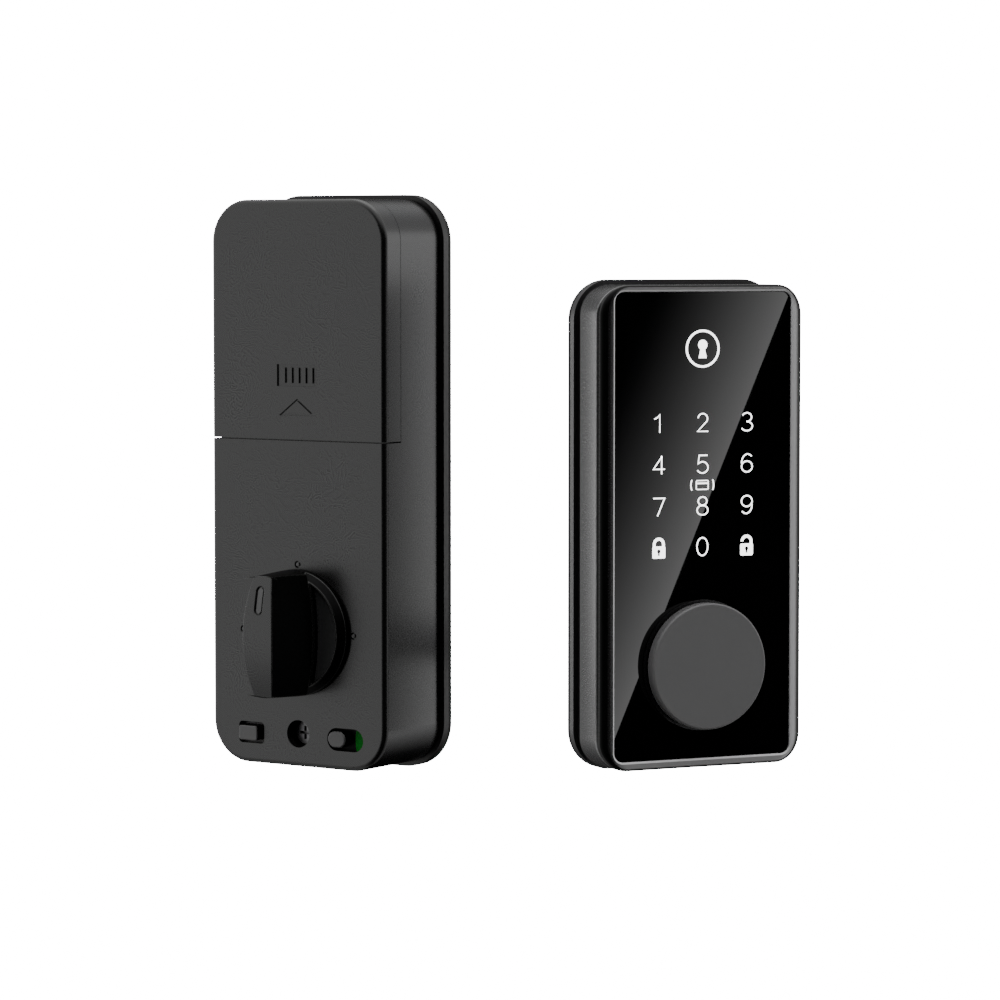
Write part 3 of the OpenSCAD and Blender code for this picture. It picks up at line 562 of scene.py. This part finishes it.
def ribbon(points, closed, width):
    # a line widened to both sides along its mitred normals, then given a thickness
    ahead = np.roll(points, -1, 0) - points
    if not closed:
        ahead[-1] = ahead[-2]
    ahead /= np.linalg.norm(ahead, axis=1)[:, None]
    behind = np.roll(ahead, 1, 0)
    if not closed:
        behind[0] = ahead[0]
    side = np.column_stack([-ahead[:, 1] - behind[:, 1], ahead[:, 0] + behind[:, 0]])
    mitre = np.maximum(np.sum(ahead * behind, 1) + 1, 0.5)
    side *= width / 2 / mitre[:, None]
    corners = [points + side, points + side, points - side, points - side]
    flat = np.stack(corners, 1)
    out = np.broadcast_to(np.array([0.0, 1.0, 1.0, 0.0]), flat.shape[:2])
    faces = gridFaces(len(points), 4, closed, True)
    if not closed:
        last = 4 * (len(points) - 1)
        faces += [[0, 1, 2, 3], [last + 3, last + 2, last + 1, last]]
    return flat.reshape(-1, 2), out.ravel(), faces


# each numeral's strokes in a box one unit high: the points of its middle line, and whether it closes
digitStrokes = {
    "0": [(arc(0, 0.5, 0.25, 0.46, 0, 360), True)],
    "1": [(np.array([(-0.22, 0.72), (-0.08, 0.8), (0.03, 0.95), (0.03, 0.03)]), False)],
    "2": [(np.concatenate([arc(0, 0.70, 0.22, 0.26, 172, -32), [(-0.24, 0.05), (0.25, 0.05)]]), False)],
    "3": [(np.concatenate([arc(-0.01, 0.735, 0.22, 0.225, 155, -90),
                           arc(-0.01, 0.27, 0.26, 0.235, 88, -155)]), False)],
    "4": [(np.array([(0.12, 0.03), (0.12, 0.97)]), False),
          (np.array([(0.13, 0.93), (-0.26, 0.29), (0.27, 0.29)]), False)],
    "5": [(np.concatenate([[(0.23, 0.95), (-0.16, 0.95), (-0.21, 0.52)],
                           arc(-0.01, 0.33, 0.26, 0.29, 130, -150)]), False)],
    "6": [(arc(0.03, 0.5, 0.28, 0.46, 48, 182), False), (arc(0, 0.32, 0.25, 0.28, 0, 360), True)],
    "7": [(np.array([(-0.26, 0.95), (0.26, 0.95), (-0.07, 0.03)]), False)],
    "8": [(arc(0, 0.745, 0.20, 0.215, 0, 360), True), (arc(0, 0.28, 0.25, 0.245, 0, 360), True)],
    "9": [(arc(-0.03, 0.5, 0.28, 0.46, 228, 362), False),
          (arc(0, 0.68, 0.25, 0.28, 0, 360), True)],
}


def strokePiece(name, strokes, x, z):
    # thin lines of light on the glass: each stroke's middle line as a ribbon
    verts, faces = [], []
    for points, closed in strokes:
        flat, out, quads = ribbon(points, closed, legend["stroke"])
        start = sum(len(v) for v in verts)
        depth = legend["depth"] + legend["thick"] * out
        verts.append(halfToWorld("out", x + flat[:, 0], depth, z + flat[:, 1]))
        faces += [[start + k for k in quad] for quad in quads]
    piece = meshPiece(name, np.concatenate(verts), faces, "lock_halves", smooth=False)
    piece.data.materials.append(made["legendWhite"])
    return piece


def digitPiece(digit, x, z):
    # the numeral's unit box scaled to its height and spread, centred on x, z
    tall = legend["digitHeight"]
    size = np.array([tall * legend["digitSpread"], tall])
    strokePiece("digit" + digit, [((p - [0, 0.5]) * size, closed) for p, closed in digitStrokes[digit]], x, z)


def loopPiece(name, loops, x, z):
    shape = bpy.data.curves.new(name, "CURVE")
    shape.dimensions = "2D"
    shape.fill_mode = "BOTH"
    shape.extrude = 0.01 * mm
    for loop in loops:
        line = shape.splines.new("POLY")
        line.points.add(len(loop) - 1)
        flatPoints = np.column_stack([loop, np.zeros(len(loop)), np.ones(len(loop))])
        line.points.foreach_set("co", flatPoints.ravel())
        line.use_cyclic_u = True
    return flatPiece(name, shape, lambda p: (x + p[:, 0], z + p[:, 1], p[:, 2]))


def circleLoop(x, z, radius, start=0, end=360, count=48):
    angle = np.radians(np.linspace(start, end, count, endpoint=(end - start) % 360 != 0))
    return np.column_stack([x + radius * np.cos(angle), z + radius * np.sin(angle)])


def boxLoop(halfWidth, top, bottom, radius):
    x, z, _, _ = cornerOutline(halfWidth, top, -bottom, radius, 6)
    return np.column_stack([x, z])


def padlock(name, x, z, isOpen):
    # body with a keyhole, and an arched bar; the open one's bar stands on its right leg only
    wide, tall = legend["lockWide"], legend["lockTall"]
    bodyTop = tall * 0.08
    hole = np.concatenate([circleLoop(0, -tall * 0.16, 0.6 * mm, -60, 240, 30),
                           [[-0.3 * mm, -tall * 0.37], [0.3 * mm, -tall * 0.37]]])
    outer, inner = wide * 0.46, wide * 0.25
    top = tall / 2 - outer
    leg = bodyTop + (0.7 * mm if isOpen else -0.1 * mm)
    arch = np.concatenate([
        [[outer, bodyTop - 0.1 * mm]], circleLoop(0, top, outer, 0, 180, 24), [[-outer, leg], [-inner, leg]],
        circleLoop(0, top, inner, 180, 0, 24), [[inner, bodyTop - 0.1 * mm]],
    ])
    loopPiece(name + "Body", [boxLoop(wide / 2, bodyTop, -tall / 2, 0.5 * mm), hole], x, z)
    loopPiece(name + "Bar", [arch], x, z)


def cardSign(x, z):
    # a card outline with one stripe, between radio waves that are arcs round the card's middle
    loopPiece("cardSign", [
        boxLoop(2.2 * mm, 1.5 * mm, -1.5 * mm, 0.5 * mm), boxLoop(1.9 * mm, 1.2 * mm, -1.2 * mm, 0.3 * mm)],
        x, z)
    loopPiece("cardStripe", [boxLoop(1.9 * mm, 0.75 * mm, 0.3 * mm, 0.05 * mm)], x, z)
    waves = [(arc(0, 0, 3.9 * mm, 3.9 * mm, side - 24, side + 24), False) for side in (0, 180)]
    strokePiece("cardWaves", waves, x, z)


def keyholeMark(x, z, radius):
    # a thin ring round a plain keyhole
    rings = [circleLoop(0, 0, r, count=96) for r in (radius, radius * 0.88)]
    loopPiece("markRing", rings, x, z)
    head = circleLoop(0, radius * 0.2, radius * 0.27, -60, 240, 40)
    foot = np.array([[-radius * 0.24, -radius * 0.5], [radius * 0.24, -radius * 0.5]])
    loopPiece("markKeyhole", [np.concatenate([head, foot])], x, z)


digits = [["1", "2", "3"], ["4", "5", "6"], ["7", "8", "9"], [None, "0", None]]
for row, z in zip(digits, legend["rows"]):
    for digit, x in zip(row, legend["columns"]):
        if digit:
            digitPiece(digit, x, z)
padlock("lockShut", legend["columns"][0], legend["rows"][3], False)
padlock("lockOpen", legend["columns"][2], legend["rows"][3], True)
cardSign(0, legend["cardZ"])
keyholeMark(0, legend["markZ"], legend["markRadius"])
print("legends made")

studio = {
    "camera": (141.81 * mm, -1209.34 * mm, 118.44 * mm), "turn": 4.63, "tilt": 3.74, "lens": 140.22,
    "floorLevel": -0.35, "floorSize": 30.0, "white": 18.0,
    # brightness of the surroundings against the compass angle: 0 is towards the viewer, plus is to the right
    "around": ((-180, 0.0), (-150, 0.2), (-128, 0.5), (-120, 0.95), (-113, 1.8), (-106, 1.2), (-98, 1.0),
               (-80, 1.3), (-62, 1.8), (-52, 0.9), (-44, 0.0), (0, 0.0), (44, 0.0), (54, 0.6), (64, 1.2),
               (85, 1.2), (112, 1.7), (124, 0.8), (142, 0.0), (180, 0.0)),
    "brightest": 2.0, "above": 1.6, "below": 0.5,
    "cardDistance": 0.9, "cardGlow": 2.5, "cardFade": 49 * mm, "cardEnd": 110 * mm,
    "edgeTop": (29.7 * mm, 113.2 * mm), "edgeBottom": (-29.6 * mm, -21.1 * mm),
}


def makeCamera(look):
    data = bpy.data.cameras.new("camera")
    data.lens = look["lens"]
    data.sensor_width = 36
    data.dof.use_dof = False
    camera = bpy.data.objects.new("camera", data)
    camera.location = look["camera"]
    camera.rotation_euler = (math.radians(90 - look["tilt"]), 0, math.radians(look["turn"]))
    bpy.context.scene.collection.objects.link(camera)
    bpy.context.scene.camera = camera


def makeWorld(look):
    # brightness from the compass angle, blended into a bright top and a dim floor level by height;
    # plain white where it is seen directly
    world = bpy.data.worlds.new("studio")
    bpy.context.scene.world = world
    world.use_nodes = True
    tree = world.node_tree
    back = tree.nodes["Background"]

    def calc(operation, a, b):
        node = tree.nodes.new("ShaderNodeMath")
        node.operation = operation
        for socket, value in zip(node.inputs, (a, b)):
            if isinstance(value, (int, float)):
                socket.default_value = value
            else:
                tree.links.new(value, socket)
        return node.outputs[0]

    def blend(low, high, first, second):
        step = tree.nodes.new("ShaderNodeMapRange")
        step.interpolation_type = "SMOOTHSTEP"
        step.inputs["From Min"].default_value = low
        step.inputs["From Max"].default_value = high
        tree.links.new(split.outputs["Z"], step.inputs["Value"])
        other = calc("SUBTRACT", 1.0, step.outputs["Result"])
        return calc("ADD", calc("MULTIPLY", other, first), calc("MULTIPLY", step.outputs["Result"], second))

    coords = tree.nodes.new("ShaderNodeTexCoord")
    split = tree.nodes.new("ShaderNodeSeparateXYZ")
    tree.links.new(coords.outputs["Generated"], split.inputs["Vector"])
    compass = calc("ARCTAN2", split.outputs["X"], calc("MULTIPLY", split.outputs["Y"], -1.0))
    ramp = tree.nodes.new("ShaderNodeValToRGB")
    stops = ramp.color_ramp.elements
    for angle, glow in look["around"][1:-1]:
        stops.new(0.5 + angle / 360).color = (*[glow / look["brightest"]] * 3, 1)
    stops[0].color = (*[look["around"][0][1] / look["brightest"]] * 3, 1)
    stops[-1].color = (*[look["around"][-1][1] / look["brightest"]] * 3, 1)
    tree.links.new(calc("ADD", calc("DIVIDE", compass, 2 * math.pi), 0.5), ramp.inputs["Fac"])
    level = calc("MULTIPLY", ramp.outputs["Color"], look["brightest"])
    level = blend(-0.6, -0.12, calc("MULTIPLY", level, look["below"]), level)
    level = blend(0.3, 0.8, level, look["above"])
    seen = tree.nodes.new("ShaderNodeLightPath")
    pick = tree.nodes.new("ShaderNodeMix")
    pick.data_type = "FLOAT"
    pick.inputs["B"].default_value = look["white"]
    tree.links.new(seen.outputs["Is Camera Ray"], pick.inputs["Factor"])
    tree.links.new(level, pick.inputs["A"])
    tree.links.new(pick.outputs["Result"], back.inputs["Strength"])
    back.inputs["Color"].default_value = (1, 1, 1, 1)


def makeFloor(look):
    mesh = bpy.data.meshes.new("floor")
    half, level = look["floorSize"] / 2, look["floorLevel"]
    mesh.from_pydata([(-half, -half, level), (half, -half, level), (half, half, level), (-half, half, level)],
                     [], [(0, 1, 2, 3)])
    floor = bpy.data.objects.new("floor", mesh)
    bpy.context.scene.collection.objects.link(floor)
    mat = finishMaterial("floorWhite", {
        "base": (0.9, 0.9, 0.9), "other": (0.91, 0.91, 0.91), "rough": (0.8, 0.9), "grain": 40, "bump": 0.0})
    shader = mat.node_tree.nodes["Principled BSDF"]
    shader.inputs["Emission Color"].default_value = (1, 1, 1, 1)
    shader.inputs["Emission Strength"].default_value = look["white"]
    mesh.materials.append(mat)
    floor.visible_diffuse = False
    floor.visible_glossy = False
    floor.visible_shadow = False


def makeCard(look):
    # a lit card and a black card, seen only in gloss; their shared edge is found by mirroring the camera in
    # the glass and carrying points of the glass plane on to a plane square to the mirrored line of sight
    face = halfToWorld("out", 0, legend["depth"], 0)
    out = halfToWorld("out", 0, 1, 0) - halfToWorld("out", 0, 0, 0)
    eye = np.array(look["camera"])
    mirrored = eye - 2 * np.dot(eye - face, out) * out
    centre = halfToWorld("out", 0, legend["depth"], 43 * mm)
    ahead = (centre - mirrored) / np.linalg.norm(centre - mirrored)
    stop = centre + ahead * look["cardDistance"]

    def carry(x, z):
        place = halfToWorld("out", x, legend["depth"], z)
        line = place - mirrored
        far = np.dot(stop - mirrored, ahead) / (line @ ahead)
        return mirrored + line * far[..., None]

    def card(name, offsets, glow):
        edge = np.array([look["edgeBottom"], look["edgeTop"]])
        along = edge[1] - edge[0]
        ends = np.array([edge[0] - along, edge[1] + along])
        grid = np.stack([carry(ends[:, 0] + off, ends[:, 1]) for off in offsets])
        mesh = bpy.data.meshes.new(name)
        mesh.from_pydata(grid.reshape(-1, 3).tolist(), [], gridFaces(len(offsets), 2, False, False))
        shade = mesh.attributes.new("glow", "FLOAT", "POINT")
        shade.data.foreach_set("value", np.repeat(np.asarray(glow, float), 2))
        piece = bpy.data.objects.new(name, mesh)
        bpy.context.scene.collection.objects.link(piece)
        mat = bpy.data.materials.new(name)
        mat.use_nodes = True
        tree = mat.node_tree
        tree.nodes.clear()
        shine = tree.nodes.new("ShaderNodeEmission")
        value = tree.nodes.new("ShaderNodeAttribute")
        value.attribute_name = "glow"
        result = tree.nodes.new("ShaderNodeOutputMaterial")
        tree.links.new(value.outputs["Fac"], shine.inputs["Strength"])
        tree.links.new(shine.outputs["Emission"], result.inputs["Surface"])
        mesh.materials.append(mat)
        piece.visible_camera = False
        piece.visible_diffuse = False
        piece.visible_shadow = False
        piece.visible_transmission = False

    # the lit card fades with the square of the distance from the shared edge
    fade = np.linspace(0, 1, 14)
    offsets = -look["cardFade"] * (1 - fade)
    card("litCard", [-look["cardEnd"], *offsets], [0, *(look["cardGlow"] * fade ** 2)])
    card("darkCard", [0, look["cardEnd"]], [0, 0])


def makeLights():
    for name, place, size, power in (
        ("topSoftbox", (0.05, 0.1, 1.3), 1.0, 5),
        ("leftSoftbox", (-1.25, 0.54, 0.05), 0.5, 2.2),
        ("rightSoftbox", (1.5, 0.7, 0.1), 0.9, 2),
    ):
        data = bpy.data.lights.new(name, "AREA")
        data.shape = "SQUARE"
        data.size = size
        data.energy = power
        light = bpy.data.objects.new(name, data)
        light.location = place
        aim = np.array([0.05, 0, 0.05]) - np.array(place)
        light.rotation_euler = mathutils.Vector(aim).to_track_quat("-Z", "Y").to_euler()
        light.visible_camera = False
        bpy.context.scene.collection.objects.link(light)


makeCamera(studio)
makeWorld(studio)
makeFloor(studio)
makeCard(studio)
makeLights()
print("studio made")
